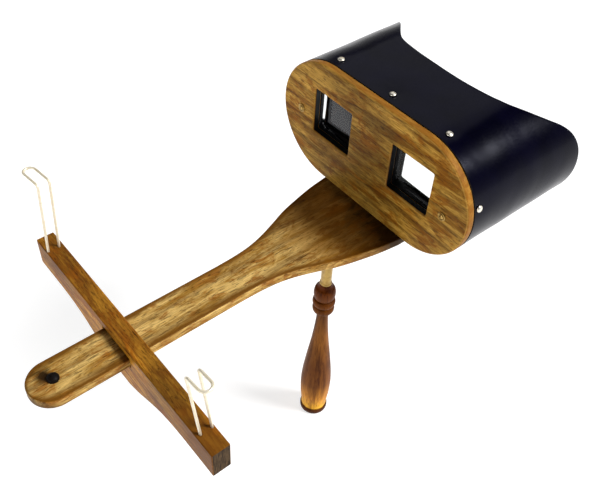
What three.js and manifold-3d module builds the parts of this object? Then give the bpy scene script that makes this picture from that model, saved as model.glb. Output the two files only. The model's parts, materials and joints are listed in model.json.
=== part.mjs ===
// Hand-held stereo viewer: a hooded lens board on a tapered beam, a sliding card carrier
// with wire card holders, and a folding turned handle.
// Millimetres, +Z up. The origin is the centre of the handle's flat foot. +Y points
// towards the user's eyes, and +X to the right of someone looking along +Y.
import * as THREE from "three";
import { mergeVertices } from "three/addons/utils/BufferGeometryUtils.js";
import Module from "manifold-3d";

const wasm = await Module();
wasm.setup();

// ---- Driving dimensions -------------------------------------------------------------
const gap = 0.3; // between pieces that are glued, screwed or wrapped together
const beamTop = 212; // the beam's upper face above the foot
const beamThick = 6.5;
const beamBottom = beamTop - beamThick;
const beamTailY = -212.2; // tip of the beam's round tail
const beamHalf = 14.1; // half width of the straight run that the carrier slides on

const faceY = 25; // front plane of the face board
const faceWidth = 165;
const faceHeight = 85;
const faceThick = 6;
const midZ = beamTop + faceHeight / 2; // mid-height of the boards and the hood
const endRadius = faceHeight / 2; // the boards' round ends
const endX = faceWidth / 2 - endRadius; // centre of a round end
const blockThick = 10;
const blockY = faceY + faceThick;
const blockRearY = blockY + blockThick;
const leather = 2;

const windowX = 35; // half of the distance between the two windows
const windowZ = beamTop + 47.7;
const windowWidth = 34;
const windowHeight = 33;
const lensSeatY = faceY + 8.4; // front of the lens pocket
const lensRim = 1.5; // the pocket is this much larger than the window all round
const lensRadius = 90; // convex rear surface, about 180 mm of focal length
const lensShift = 12; // optical centre, outwards from the lens's middle
const lensThick = 6.4;
const retainerThick = 1.5;
const retainerWidth = 46;
const retainerHeight = 47;

const hoodReach = 105; // the rim's greatest reach behind the face board's front
const hoodFlare = 0.5; // how far the leather leans outwards there
const hoodShift = 0.5; // how far it leans to the right there

const barLength = 184.8;
const barThick = 11.4;
const barY = -153.7; // middle of the card bar, where it is parked
const barTop = beamTop + 6.5;
const armBottom = beamTop - 12.8;
const barBottom = beamTop - 28.8;
const slotHalf = beamHalf + 0.5;
const slotTop = beamTop + 1.3; // the spring lies between the beam and this roof
const slotBottom = beamBottom - 0.35;

const springReach = slotHalf - 0.4; // half of the leaf's length, across the slot
const springHalfWidth = barThick / 2 - 0.4; // the leaf is nearly as wide as the bar is thick
const springThick = 0.45;
const springSlack = 0.1;

const wireRadius = 0.8;
const wireLegY = 3.55; // half of the distance between a holder's two legs
const wireSink = 9;
// Each hand-bent holder: the middle of its two feet on the bar, its height, how far its loop
// reaches outwards, and its lean in degrees outwards and along the beam.
const wires = {
  left: { side: -1, x: 79.5, y: -0.8, height: 51.3, reach: 17, leanX: -0.7, leanY: 3.6, turn: -0.12 },
  right: { side: 1, x: 78.6, y: 0.6, height: 51.9, reach: 13, leanX: -2, leanY: -4.6, turn: 0.05 },
};

const pivotZ = 186;
const plateThick = 1.6; // the hinge plate
const plateWidth = 38;
const plateLength = 24;
const pinRadius = 2;
const earInner = 3.4;
const earThick = 1.8;
const eyeRadius = 5;
const webThick = 1.6;
const stemRadius = 3.85;
const gripTop = 153;
const tenonRadius = 2.5;
const tenonDepth = 25;

// ---- Materials ----------------------------------------------------------------------
function material(color, roughness, metalness = 0) {
  return new THREE.MeshStandardMaterial({ color, roughness, metalness });
}
const wood = material(0x8a5a28, 0.45);
const barWood = material(0x6f3f1c, 0.45);
const gripWood = material(0x8c4a1c, 0.35);
const blackPaint = material(0x121212, 0.5);
const blackLeather = material(0x15151c, 0.4);
const brass = material(0xc9a24a, 0.3, 1);
const springSteel = material(0x24242a, 0.5, 1);
const lensGlass = material(0xe8f2f2, 0.05);
lensGlass.transparent = true;
lensGlass.opacity = 0.35;

// ---- Geometry helpers ---------------------------------------------------------------
function toSolid(geometry) {
  const bare = geometry.clone();
  bare.deleteAttribute("normal");
  bare.deleteAttribute("uv");
  const merged = mergeVertices(bare, 1e-4);
  return new wasm.Manifold(
    new wasm.Mesh({
      numProp: 3,
      vertProperties: new Float32Array(merged.attributes.position.array),
      triVerts: new Uint32Array(merged.index.array),
    }),
  );
}

function toGeometry(solid) {
  const mesh = solid.getMesh();
  const geometry = new THREE.BufferGeometry();
  geometry.setAttribute("position", new THREE.BufferAttribute(mesh.vertProperties, 3));
  geometry.setIndex(new THREE.BufferAttribute(mesh.triVerts, 1));
  const flat = geometry.toNonIndexed();
  flat.computeVertexNormals();
  return flat;
}

function subtract(geometry, tools) {
  return toGeometry(tools.reduce((solid, tool) => solid.subtract(toSolid(tool)), toSolid(geometry)));
}

function join(geometries) {
  const [first, ...others] = geometries.map(toSolid);
  return toGeometry(others.reduce((solid, other) => solid.add(other), first));
}

function extrude(shape, depth, curveSegments = 20) {
  return new THREE.ExtrudeGeometry(shape, { depth, bevelEnabled: false, curveSegments });
}

// A shape drawn in X and Z, extruded from y0 to y1.
function alongY(shape, y0, y1, curveSegments) {
  return extrude(shape, y1 - y0, curveSegments)
    .rotateX(Math.PI / 2)
    .translate(0, y1, 0);
}

// A shape drawn in Y and Z, extruded from x0 to x1.
function alongX(shape, x0, x1, curveSegments) {
  return extrude(shape, x1 - x0, curveSegments)
    .rotateZ(Math.PI / 2)
    .rotateY(Math.PI / 2)
    .translate(x0, 0, 0);
}

function box(x, y, z, cx, cy, cz) {
  return new THREE.BoxGeometry(x, y, z).translate(cx, cy, cz);
}

function rod(radius, length, sides = 12) {
  return new THREE.CylinderGeometry(radius, radius, length, sides);
}

// A polygon of this circumradius clears a rod of the given radius.
function boreRadius(radius, clearance, sides) {
  return (radius + clearance) / Math.cos(Math.PI / sides);
}

function circlePath(x, y, radius) {
  return new THREE.Path().absarc(x, y, radius, 0, 2 * Math.PI, true);
}

function rectangle(path, x0, y0, x1, y1) {
  path.moveTo(x0, y0).lineTo(x1, y0).lineTo(x1, y1).lineTo(x0, y1).closePath();
  return path;
}

// The boards' outline: a rectangle with round ends, in X and Z, inset all round.
function boardShape(inset = 0) {
  const radius = endRadius - inset;
  return new THREE.Shape()
    .absarc(endX, midZ, radius, -Math.PI / 2, Math.PI / 2, false)
    .absarc(-endX, midZ, radius, Math.PI / 2, (3 * Math.PI) / 2, false)
    .closePath();
}

// The two window tunnels, from the face board's front through the lens block.
function windowHoles() {
  return [-1, 1].map((side) =>
    box(windowWidth, 60, windowHeight, side * windowX, blockY, windowZ),
  );
}

// A round-head screw or tack along +Y: its head's underside is at y = 0, shank towards +Y.
function headedPin({ headRadius, headHeight, shankRadius, shankLength, sides = 10 }) {
  const profile = [new THREE.Vector2(0, shankLength)];
  profile.push(new THREE.Vector2(shankRadius * 0.35, shankLength));
  profile.push(new THREE.Vector2(shankRadius, shankLength - shankRadius * 2));
  profile.push(new THREE.Vector2(shankRadius, 0));
  const steps = 3;
  for (let i = 0; i <= steps; i++) {
    const a = (i / steps) * (Math.PI / 2);
    profile.push(new THREE.Vector2(headRadius * Math.cos(a), -headHeight * Math.sin(a)));
  }
  profile[profile.length - 1].x = 0;
  return new THREE.LatheGeometry(profile.reverse(), sides);
}

function slotted(geometry, { headRadius, headHeight }, angle) {
  const slot = box(headRadius * 3, headHeight, headRadius * 0.24, 0, -headHeight, 0).rotateY(angle);
  return subtract(geometry, [slot]);
}

const group = new THREE.Group();
const bodies = {};
for (const name of ["viewer", "card_carrier", "handle"]) {
  bodies[name] = new THREE.Group();
  bodies[name].name = name;
  group.add(bodies[name]);
}

function add(body, name, geometry, meshMaterial) {
  const mesh = new THREE.Mesh(geometry, meshMaterial);
  mesh.name = name;
  bodies[body].add(mesh);
  return mesh;
}

// ---- Fasteners' places --------------------------------------------------------------
const faceScrew = { headRadius: 3, headHeight: 1.4, shankRadius: 1.6, shankLength: 11, sides: 16 };
const retainerScrew = { headRadius: 1.8, headHeight: 1, shankRadius: 0.9, shankLength: 7 };
const tack = { headRadius: 2.2, headHeight: 1.3, shankRadius: 0.7, shankLength: 7 };
const beamScrew = { headRadius: 3, headHeight: 1.6, shankRadius: 1.4, shankLength: 17 };
const hingeScrew = { headRadius: 2.1, headHeight: 1.1, shankRadius: 1, shankLength: 6.5 };
const screwSlack = 0.4; // round a screw's shank, in its hole
const tackSlack = 0.35;
const faceScrewPlaces = { left: [-64, midZ], right: [64, midZ - 1.8] };
const beamScrewX = 24;
const beamScrewY = blockY + 5;
const beamScrewTip = beamBottom + 18;
const hingeScrewX = 14.5;
const hingeScrewY = 7.5;
const retainerScrewZ = 20;

// The outline of the boards and the hood, by the distance s along it from the middle of
// the top edge. The first half runs down the right side to the middle of the bottom edge.
const halfOutline = 2 * endX + Math.PI * endRadius;

function outlinePoint(s, offset) {
  const side = Math.sign(s) || 1;
  const run = Math.abs(s);
  if (run < endX) return [side * run, midZ + endRadius + offset];
  if (run > halfOutline - endX) return [side * (halfOutline - run), midZ - endRadius - offset];
  const angle = (run - endX) / endRadius;
  const radius = endRadius + offset;
  return [side * (endX + radius * Math.sin(angle)), midZ + radius * Math.cos(angle)];
}

// A tack's place on the hood: the point on the leather and the direction that it points out.
function tackPlace(s, y) {
  const [x0, z0] = outlinePoint(s, 0.1);
  const [x1, z1] = outlinePoint(s, 1.1);
  return { out: new THREE.Vector3(x1 - x0, 0, z1 - z0), foot: new THREE.Vector3(x0, y, z0) };
}

const tackRowY = faceY + 13.2;
const tackSideY = faceY + 9.6;
const tackPlaces = {
  hood_tack_top_left: tackPlace(-44.7, tackRowY),
  hood_tack_top_middle: tackPlace(1.3, tackRowY),
  hood_tack_top_right: tackPlace(47.3, tackRowY),
  hood_tack_side_left: tackPlace(-95, tackSideY),
  hood_tack_side_right: tackPlace(95, tackSideY),
  hood_tack_bottom_left: tackPlace(-halfOutline + 46, tackRowY),
  hood_tack_bottom_right: tackPlace(halfOutline - 46, tackRowY),
};

function pointAt(geometry, { out, foot }) {
  const turn = new THREE.Quaternion().setFromUnitVectors(new THREE.Vector3(0, -1, 0), out);
  return geometry.applyQuaternion(turn).translate(foot.x, foot.y, foot.z);
}

function tackHoles() {
  const radius = tack.shankRadius + tackSlack;
  return Object.values(tackPlaces).map((place) => pointAt(rod(radius, 20, 8), place));
}

function upright(geometry, x, y, z) {
  return geometry.rotateX(Math.PI / 2).translate(x, y, z);
}

// Holes that end just above the screws' tips, inside the lens block.
function beamScrewHoles() {
  const radius = beamScrew.shankRadius + screwSlack;
  const z = beamScrewTip - 20;
  return [-1, 1].map((side) => upright(rod(radius, 40, 10), side * beamScrewX, beamScrewY, z));
}

const hingeScrewPlaces = {
  front_left: [-hingeScrewX, -hingeScrewY],
  front_right: [hingeScrewX, -hingeScrewY],
  rear_left: [-hingeScrewX, hingeScrewY],
  rear_right: [hingeScrewX, hingeScrewY],
};

// Blind holes, up to 1 mm below the beam's upper face.
function hingeScrewHoles() {
  const length = 40;
  const z = beamTop - 1 - length / 2;
  const radius = hingeScrew.shankRadius + screwSlack;
  return Object.values(hingeScrewPlaces).map(([x, y]) => upright(rod(radius, length, 8), x, y, z));
}

function faceScrewHoles() {
  const radius = faceScrew.shankRadius + screwSlack;
  return Object.values(faceScrewPlaces).map(([x, z]) => rod(radius, 40, 10).translate(x, blockY, z));
}

function retainerScrewPlaces(side) {
  return [-1, 1].map((end) => [side * windowX, windowZ + end * retainerScrewZ]);
}

function retainerScrewHoles(side) {
  const radius = retainerScrew.shankRadius + tackSlack;
  return retainerScrewPlaces(side).map(([x, z]) => rod(radius, 14, 8).translate(x, blockRearY, z));
}

// ---- Face board and lens block ------------------------------------------------------
function makeFaceBoard() {
  return subtract(alongY(boardShape(), faceY, blockY), [...windowHoles(), ...faceScrewHoles()]);
}

function makeLensBlock() {
  const blank = alongY(boardShape(leather + gap), blockY, blockRearY);
  const pocketDepth = blockRearY - lensSeatY;
  const pockets = [-1, 1].map((side) =>
    box(
      windowWidth + 2 * lensRim,
      pocketDepth + 2,
      windowHeight + 2 * lensRim,
      side * windowX,
      lensSeatY + (pocketDepth + 2) / 2,
      windowZ,
    ),
  );
  const fastenerHoles = [
    ...retainerScrewHoles(-1),
    ...retainerScrewHoles(1),
    ...beamScrewHoles(),
    ...faceScrewHoles(),
    ...tackHoles(),
  ];
  return subtract(blank, [...windowHoles(), ...pockets, ...fastenerHoles]);
}

function makeLens(side) {
  const width = windowWidth + 2 * lensRim - 2 * gap;
  const height = windowHeight + 2 * lensRim - 2 * gap;
  const blank = box(width, lensThick, height, side * windowX, lensSeatY + lensThick / 2, windowZ);
  const ball = new THREE.SphereGeometry(lensRadius, 90, 60)
    .rotateX(Math.PI / 2)
    .translate(side * (windowX + lensShift), lensSeatY + lensThick - lensRadius, windowZ);
  return toGeometry(toSolid(blank).intersect(toSolid(ball)));
}

function makeRetainer(side) {
  const x = side * windowX;
  const y = blockRearY + retainerThick / 2;
  const opening = box(windowWidth, 14, windowHeight, x, y, windowZ);
  const plate = box(retainerWidth, retainerThick, retainerHeight, x, y, windowZ);
  return subtract(plate, [opening, ...retainerScrewHoles(side)]);
}

add("viewer", "face_board", makeFaceBoard(), wood);
add("viewer", "lens_block", makeLensBlock(), blackPaint);
for (const [label, side] of [["left", -1], ["right", 1]]) {
  add("viewer", `lens_${label}`, makeLens(side), lensGlass);
  add("viewer", `lens_retainer_${label}`, makeRetainer(side), blackPaint);
  retainerScrewPlaces(side).forEach(([x, z], i) => {
    const screw = slotted(headedPin(retainerScrew), retainerScrew, 0.4 + i);
    screw.rotateX(Math.PI).translate(x, blockRearY + retainerThick, z);
    add("viewer", `retainer_screw_${label}_${i ? "upper" : "lower"}`, screw, brass);
  });
  const [x, z] = faceScrewPlaces[label];
  const screw = slotted(headedPin(faceScrew), faceScrew, side * 0.9);
  add("viewer", `face_screw_${label}`, screw.translate(x, faceY, z), brass);
}

// ---- Hood ---------------------------------------------------------------------------
// How far the rim stands behind the face board's front plane: short over the brow and
// the nose, and long at the temples. Each station is [distance along the outline, reach].
// The hand-cut brow edge differs a little between the two sides.
const rightBrow = [
  [20, 58.6],
  [34, 59.6],
  [42, 61],
  [50, 64.5],
  [60, 72.7],
  [68, 81],
  [76, 90.5],
  [84, 97.3],
  [94, 101.5],
  [106, 102.8],
  [120, 103],
];
const leftBrow = [
  [20, 59.5],
  [34, 61],
  [40, 62.5],
  [44, 65],
  [50, 70.5],
  [60, 80.3],
  [70, 88.7],
  [80, 97],
  [87, 101.5],
  [96, 104],
  [110, hoodReach],
  [122, 104],
];
const noseEdge = [
  [132, 101.5],
  [140, 97],
  [148, 88.5],
  [157, 73],
  [166, 57],
  [175, 45],
  [186, 38],
  [200, 33],
  [halfOutline, 31.5],
];
const browMiddle = [0, 58.5];
const hoodColumns = 44; // columns of faces in each half
const hoodRows = 4;

function makeHood() {
  const [right, left] = [rightBrow, leftBrow].map((brow) => {
    const stations = [browMiddle, ...brow, ...noseEdge].map(([s, y]) => new THREE.Vector2(s, y));
    return new THREE.SplineCurve(stations).getPoints(hoodColumns);
  });
  const columns = [
    ...right.map((p) => [p.x, p.y]),
    ...left.slice(1, -1).reverse().map((p) => [-p.x, p.y]),
  ];
  const front = blockY + gap;
  const straightEnd = blockRearY + 1; // the leather lies flat on the block and the beam up to here
  const positions = [];
  for (const [s, reach] of columns) {
    const rimY = faceY + reach;
    const ring = [];
    for (let row = 0; row <= hoodRows; row++) {
      const along = (row - 1) / (hoodRows - 1);
      const y = row === 0 ? front : THREE.MathUtils.lerp(straightEnd, rimY, along);
      const behind = Math.max(0, (y - straightEnd) / (faceY + hoodReach - straightEnd)) ** 1.6;
      const [xOut, zOut] = outlinePoint(s, hoodFlare * behind);
      const [xIn, zIn] = outlinePoint(s, hoodFlare * behind - leather);
      ring.push([xOut + hoodShift * behind, y, zOut]);
      ring.unshift([xIn + hoodShift * behind, y, zIn]);
    }
    positions.push(...ring.flat());
  }
  const across = 2 * (hoodRows + 1);
  const index = [];
  for (let i = 0; i < columns.length; i++) {
    const next = (i + 1) % columns.length;
    for (let j = 0; j < across; j++) {
      const after = (j + 1) % across;
      const [a, b] = [i * across + j, i * across + after];
      const [c, d] = [next * across + j, next * across + after];
      index.push(a, c, d, a, d, b);
    }
  }
  const shell = new THREE.BufferGeometry();
  shell.setAttribute("position", new THREE.Float32BufferAttribute(positions, 3));
  shell.setIndex(index);
  return subtract(shell, [...tackHoles(), ...beamScrewHoles()]);
}

add("viewer", "hood", makeHood(), blackLeather);
for (const [name, place] of Object.entries(tackPlaces)) {
  add("viewer", name, pointAt(headedPin(tack), place), brass);
}

// ---- Beam ---------------------------------------------------------------------------
const stopPinY = beamTailY + 15;
const stopPinRadius = 2.2; // of its shank

// Half widths of the beam from the face board's front plane to the straight run, as
// [distance in front of that plane, half width].
const beamFlare = [
  [0, 37],
  [14.6, 34.9],
  [28, 32],
  [43, 28.1],
  [54, 24],
  [68, 19],
  [80, 16],
  [92, 14.6],
  [106, beamHalf],
];

function makeBeam() {
  const right = beamFlare.map(([d, half]) => new THREE.Vector2(half, faceY - d));
  const left = beamFlare.map(([d, half]) => new THREE.Vector2(-half, faceY - d)).reverse();
  const widest = beamFlare[0][1];
  const shape = new THREE.Shape()
    .moveTo(-widest, blockRearY)
    .lineTo(-widest, faceY)
    .splineThru(left.slice().reverse().slice(1))
    .lineTo(-beamHalf, beamTailY + beamHalf)
    .absarc(0, beamTailY + beamHalf, beamHalf, Math.PI, 2 * Math.PI, false)
    .lineTo(beamHalf, faceY - beamFlare.at(-1)[0])
    .splineThru(right.slice().reverse().slice(1))
    .lineTo(widest, blockRearY)
    .closePath();
  const stopHole = upright(rod(stopPinRadius + screwSlack, 40), 0, stopPinY, beamTop);
  const blank = extrude(shape, beamThick, 3).translate(0, 0, beamBottom);
  return subtract(blank, [...beamScrewHoles(), ...hingeScrewHoles(), stopHole]);
}

// A low domed peg near the tail. It catches the card bar, so the carrier can't run off.
function makeStopPin() {
  const bottom = beamBottom + 0.5;
  const profile = [
    [0, bottom],
    [stopPinRadius, bottom],
    [stopPinRadius, beamTop],
    [3.4, beamTop],
    [3.5, beamTop + 1],
    [2.9, beamTop + 2.1],
    [1.6, beamTop + 2.75],
    [0, beamTop + 2.9],
  ].map(([r, z]) => new THREE.Vector2(r, z));
  return new THREE.LatheGeometry(profile, 16).rotateX(Math.PI / 2).translate(0, stopPinY, 0);
}

add("viewer", "beam", makeBeam(), wood);
add("viewer", "stop_pin", makeStopPin(), barWood);
for (const [label, side] of [["left", -1], ["right", 1]]) {
  const screw = slotted(headedPin(beamScrew), beamScrew, side * 0.6);
  screw.rotateX(Math.PI / 2).translate(side * beamScrewX, beamScrewY, beamBottom);
  add("viewer", `beam_screw_${label}`, screw, brass);
}

// ---- Card carrier -------------------------------------------------------------------
// The underside of the card bar, from the middle outwards: [distance from the middle, z].
const barBelly = [
  [9, barBottom],
  [20, beamTop - 25.4],
  [32, beamTop - 20.1],
  [43, beamTop - 16],
  [54, beamTop - 13.7],
  [66, armBottom],
];

function makeCardBar() {
  const half = barLength / 2;
  const right = barBelly.map(([x, z]) => new THREE.Vector2(x, z));
  const left = barBelly.map(([x, z]) => new THREE.Vector2(-x, z)).reverse();
  const shape = new THREE.Shape()
    .moveTo(half, barTop)
    .lineTo(-half, barTop)
    .lineTo(-half, armBottom)
    .lineTo(left[0].x, left[0].y)
    .splineThru(left.slice(1))
    .lineTo(right[0].x, right[0].y)
    .splineThru(right.slice(1))
    .lineTo(half, armBottom)
    .closePath();
  shape.holes.push(rectangle(new THREE.Path(), -slotHalf, slotBottom, slotHalf, slotTop));
  const legHoles = Object.values(wires).flatMap(({ side, x, y }) =>
    [-1, 1].map((leg) =>
      upright(
        rod(wireRadius + tackSlack, 2 * wireSink + 1, 10),
        side * x,
        barY + y + leg * wireLegY,
        barTop,
      ),
    ),
  );
  return subtract(alongY(shape, barY - barThick / 2, barY + barThick / 2, 4), legHoles);
}

// A slightly bowed leaf across the slot. Its ends bear on the roof and its middle on the beam.
function makeSlideSpring() {
  const [low, high] = [beamTop + springSlack, slotTop - springSlack - springThick];
  const pull = 2 * low - high; // the curve's control point
  const shape = new THREE.Shape()
    .moveTo(-springReach, high)
    .quadraticCurveTo(0, pull, springReach, high)
    .lineTo(springReach, high + springThick)
    .quadraticCurveTo(0, pull + springThick, -springReach, high + springThick)
    .closePath();
  return alongY(shape, barY - springHalfWidth, barY + springHalfWidth, 12);
}

// One bent wire: up one leg, outwards, round the loop, back, and down the other leg.
function makeWire({ side, x, y, height, reach, leanX, leanY, turn }) {
  const bend = 3;
  const out = reach - wireLegY;
  const round = out + wireLegY * 1.33; // control points of the loop's round end
  const [low, knee] = [-wireSink, height - bend];
  const point = (px, leg, pz) => new THREE.Vector3(side * px, leg * wireLegY, pz);
  const line = (a, b) => new THREE.LineCurve3(a, b);
  const path = new THREE.CurvePath();
  path.add(line(point(0, -1, low), point(0, -1, knee)));
  path.add(
    new THREE.QuadraticBezierCurve3(
      point(0, -1, knee),
      point(0, -1, height),
      point(bend, -1, height),
    ),
  );
  path.add(line(point(bend, -1, height), point(out, -1, height)));
  path.add(
    new THREE.CubicBezierCurve3(
      point(out, -1, height),
      point(round, -1, height),
      point(round, 1, height),
      point(out, 1, height),
    ),
  );
  path.add(line(point(out, 1, height), point(bend, 1, height)));
  path.add(
    new THREE.QuadraticBezierCurve3(
      point(bend, 1, height),
      point(0, 1, height),
      point(0, 1, knee),
    ),
  );
  path.add(line(point(0, 1, knee), point(0, 1, low)));
  const section = new THREE.Shape().absarc(0, 0, wireRadius, 0, 2 * Math.PI, false);
  const wire = new THREE.ExtrudeGeometry(section, {
    extrudePath: path,
    steps: 60,
    curveSegments: 3,
    bevelEnabled: false,
  });
  // The holder leans by a shear that starts at the bar's top, so the legs stay in their holes.
  const outwards = side * Math.tan(THREE.MathUtils.degToRad(leanX));
  const along = Math.tan(THREE.MathUtils.degToRad(leanY));
  const p = wire.attributes.position;
  for (let i = 0; i < p.count; i++) {
    const [px, py, pz] = [p.getX(i), p.getY(i), Math.max(0, p.getZ(i))];
    const beyond = Math.max(0, side * px - wireRadius);
    p.setX(i, px + outwards * pz);
    p.setY(i, py + along * pz + turn * beyond);
  }
  return wire.translate(side * x, barY + y, barTop);
}

add("card_carrier", "card_bar", makeCardBar(), barWood);
add("card_carrier", "slide_spring", makeSlideSpring(), springSteel);
add("card_carrier", "wire_holder_left", makeWire(wires.left), brass);
add("card_carrier", "wire_holder_right", makeWire(wires.right), brass);

// ---- Hinge and handle ---------------------------------------------------------------
const boreSides = 24;

const earBack = eyeRadius + 1.9; // the web's rear face

function earShape(hole) {
  const shape = new THREE.Shape()
    .moveTo(-eyeRadius - 1, beamBottom - 1)
    .lineTo(-eyeRadius - 1, pivotZ)
    .absarc(0, pivotZ, eyeRadius + 1, Math.PI, (3 * Math.PI) / 2, false)
    .lineTo(earBack, pivotZ - eyeRadius - 1)
    .lineTo(earBack, beamBottom - 1)
    .closePath();
  shape.holes.push(circlePath(0, pivotZ, hole));
  return shape;
}

// Plate under the beam, two ears for the pin, and a web behind the stem that stops it upright.
function makeHingePlate() {
  const plate = box(plateWidth, plateLength, plateThick, 0, 0, beamBottom - plateThick / 2);
  const bore = boreRadius(pinRadius, 0.05, boreSides);
  const ears = [-1, 1].map((side) => {
    const inner = side * earInner;
    const outer = side * (earInner + earThick);
    return alongX(earShape(bore), Math.min(inner, outer), Math.max(inner, outer), boreSides / 2);
  });
  const webBottom = pivotZ - eyeRadius - 1;
  const web = box(
    2 * earInner + 0.2,
    webThick,
    beamBottom - 1 - webBottom,
    0,
    earBack - webThick / 2,
    (beamBottom - 1 + webBottom) / 2,
  );
  return subtract(join([plate, ...ears, web]), hingeScrewHoles());
}

function makeHingePin() {
  const end = earInner + earThick + 0.1;
  const profile = [
    [0, -end - 1.2],
    [1.8, -end - 0.9],
    [3, -end],
    [pinRadius, -end],
    [pinRadius, end],
    [3, end],
    [1.8, end + 0.9],
    [0, end + 1.2],
  ].map(([r, x]) => new THREE.Vector2(r, x));
  return new THREE.LatheGeometry(profile, boreSides).rotateZ(Math.PI / 2).translate(0, 0, pivotZ);
}

// Flat tongue with the hinge eye, then a round stem with a tenon inside the wooden grip.
function makeStem() {
  const tongueBottom = pivotZ - 14;
  const halfThick = earInner - gap;
  const bore = boreRadius(pinRadius, 0.06, boreSides);
  const tongue = new THREE.Shape()
    .moveTo(eyeRadius, pivotZ)
    .absarc(0, pivotZ, eyeRadius, 0, Math.PI, false)
    .lineTo(-eyeRadius, pivotZ - 9)
    .lineTo(-stemRadius + 0.4, tongueBottom)
    .lineTo(stemRadius - 0.4, tongueBottom)
    .lineTo(eyeRadius, pivotZ - 9)
    .closePath();
  tongue.holes.push(circlePath(0, pivotZ, bore));
  const stemTop = pivotZ - 9.5;
  const profile = [
    [0, gripTop - tenonDepth],
    [tenonRadius - 0.6, gripTop - tenonDepth],
    [tenonRadius, gripTop - tenonDepth + 1],
    [tenonRadius, gripTop],
    [stemRadius + 0.5, gripTop],
    [stemRadius + 0.5, gripTop + 2.2],
    [stemRadius, gripTop + 3],
    [stemRadius, stemTop - 1],
    [stemRadius - 1, stemTop],
    [0, stemTop],
  ].map(([r, z]) => new THREE.Vector2(r, z));
  const stem = new THREE.LatheGeometry(profile, 24).rotateX(Math.PI / 2);
  return join([alongX(tongue, -halfThick, halfThick, boreSides / 2), stem]);
}

// The grip's turned profile from the foot up: [height, radius].
const gripSwell = [
  [6.8, 10.2],
  [13, 10.6],
  [24, 11.6],
  [38, 11.9],
  [51, 11.1],
  [64, 9.7],
  [77, 8.1],
  [89, 6.6],
  [101, 5.4],
  [113, 4.5],
  [121.4, 4.2],
];

// A half-round bead between two heights, standing out to the given radius.
function bead(z0, z1, foot, radius, points) {
  return Array.from({ length: points + 1 }, (_, i) => {
    const a = (i / points) * Math.PI;
    const z = (z0 + z1) / 2 - ((z1 - z0) / 2) * Math.cos(a);
    return new THREE.Vector2(foot + (radius - foot) * Math.sin(a), z);
  });
}

function makeGrip() {
  const swell = new THREE.SplineCurve(gripSwell.map(([z, r]) => new THREE.Vector2(r, z)));
  const bore = tenonRadius + gap;
  const profile = [
    new THREE.Vector2(0, 0),
    new THREE.Vector2(10.3, 0),
    new THREE.Vector2(10.9, 0.8),
    new THREE.Vector2(11, 4.6),
    new THREE.Vector2(10.4, 5.8),
    ...swell.getPoints(14),
    ...bead(124, 130.4, 6.2, 8, 4),
    ...bead(131, 137.4, 6.4, 8.3, 4),
    ...bead(137.8, 149, 6, 7.9, 6),
    new THREE.Vector2(4.6, 150.4),
    new THREE.Vector2(4.4, gripTop),
    new THREE.Vector2(bore, gripTop),
    new THREE.Vector2(bore, gripTop - tenonDepth - 1),
    new THREE.Vector2(0, gripTop - tenonDepth - 1),
  ];
  return new THREE.LatheGeometry(profile, 24).rotateX(Math.PI / 2);
}

add("viewer", "hinge_plate", makeHingePlate(), brass);
add("viewer", "hinge_pin", makeHingePin(), brass);
for (const [label, [x, y]] of Object.entries(hingeScrewPlaces)) {
  const screw = slotted(headedPin(hingeScrew), hingeScrew, (x + y) / 20);
  add("viewer", `hinge_screw_${label}`, upright(screw, x, y, beamBottom - plateThick), brass);
}
add("handle", "handle_stem", makeStem(), brass);
add("handle", "handle_grip", makeGrip(), gripWood);

export default group;
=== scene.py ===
"""Looks of the hand-held stereo viewer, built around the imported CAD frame. Units are metres."""
import json
import math
import random

import bmesh
import bpy
from mathutils import Matrix, Vector, noise


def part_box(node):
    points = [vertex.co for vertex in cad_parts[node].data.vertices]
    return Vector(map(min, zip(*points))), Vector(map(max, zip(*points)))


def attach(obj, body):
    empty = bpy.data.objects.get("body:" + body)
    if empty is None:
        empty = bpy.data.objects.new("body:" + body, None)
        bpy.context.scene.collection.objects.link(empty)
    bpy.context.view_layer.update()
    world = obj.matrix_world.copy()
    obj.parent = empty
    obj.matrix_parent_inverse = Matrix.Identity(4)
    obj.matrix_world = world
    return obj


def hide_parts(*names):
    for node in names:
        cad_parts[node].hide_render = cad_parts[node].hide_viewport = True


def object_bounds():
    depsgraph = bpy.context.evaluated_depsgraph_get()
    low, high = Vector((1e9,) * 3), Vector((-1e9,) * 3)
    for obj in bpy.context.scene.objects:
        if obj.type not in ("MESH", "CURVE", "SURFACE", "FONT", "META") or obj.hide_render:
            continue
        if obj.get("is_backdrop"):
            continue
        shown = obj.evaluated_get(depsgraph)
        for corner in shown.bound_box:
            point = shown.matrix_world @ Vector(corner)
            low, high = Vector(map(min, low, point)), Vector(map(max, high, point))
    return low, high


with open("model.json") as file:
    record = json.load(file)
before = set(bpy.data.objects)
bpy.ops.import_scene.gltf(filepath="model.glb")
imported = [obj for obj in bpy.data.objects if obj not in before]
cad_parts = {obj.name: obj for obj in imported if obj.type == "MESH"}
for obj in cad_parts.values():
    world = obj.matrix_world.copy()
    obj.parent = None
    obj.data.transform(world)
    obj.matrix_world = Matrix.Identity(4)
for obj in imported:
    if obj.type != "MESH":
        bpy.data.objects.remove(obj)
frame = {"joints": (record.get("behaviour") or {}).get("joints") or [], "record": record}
cad_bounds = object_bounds()

MM = 0.001
scene = bpy.context.scene
bodies = frame["record"]["behaviour"]["bodies"]
body_of = {node: body for body, nodes in bodies.items() for node in nodes}

# ---- Places and sizes, read from the frame -------------------------------------------
face_lo, face_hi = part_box("face_board")
block_lo, block_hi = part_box("lens_block")
hood_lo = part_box("hood")[0]
beam_lo, beam_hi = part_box("beam")
bar_lo, bar_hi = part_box("card_bar")
spring_lo, spring_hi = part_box("slide_spring")
grip_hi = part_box("handle_grip")[1]
stem_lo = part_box("handle_stem")[0]
plate_lo, plate_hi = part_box("hinge_plate")
stop_lo, stop_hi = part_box("stop_pin")

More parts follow.
